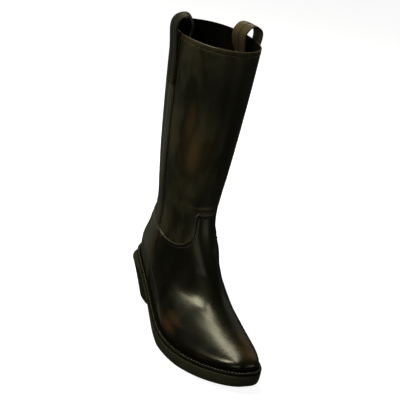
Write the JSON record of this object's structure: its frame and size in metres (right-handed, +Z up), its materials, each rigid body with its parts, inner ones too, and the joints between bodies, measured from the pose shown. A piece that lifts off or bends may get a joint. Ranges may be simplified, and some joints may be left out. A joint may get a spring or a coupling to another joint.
{
  "type": "pull-on boot",
  "caption": "Right-foot pull-on boot: tall hollow leather upper with vamp, counter and side strips, pull loops, welted sole and underslung heel.",
  "frame": {"origin": "middle of the bounding box on the floor that the boot stands on", "axes": "+Z up, toe towards -Y, outer (lateral) side of the right foot towards -X"},
  "size_m": [0.1172, 0.3026, 0.4072],
  "materials": {
    "outsole": "plain dark sole edge, half matt",
    "heel": "plain dark heel, half matt",
    "welt": "dark welt with a row of stitches",
    "insole": "dark lining leather, matt",
    "upper": "burnished near-black leather with brown rubbed places",
    "vamp": "polished burnished leather",
    "counter": "burnished leather",
    "side_strip": "burnished leather strip",
    "pull_loop": "doubled leather strap with rubbed brown edges"
  },
  "bodies": {
    "root": {"outsole": "outsole", "heel": "heel", "welt": "welt", "insole": "insole", "upper": "upper", "vamp": "vamp", "counter": "counter", "side_strip_lateral": "side_strip", "side_strip_medial": "side_strip", "pull_loop_lateral": "pull_loop", "pull_loop_medial": "pull_loop"}
  },
  "joints": []
}
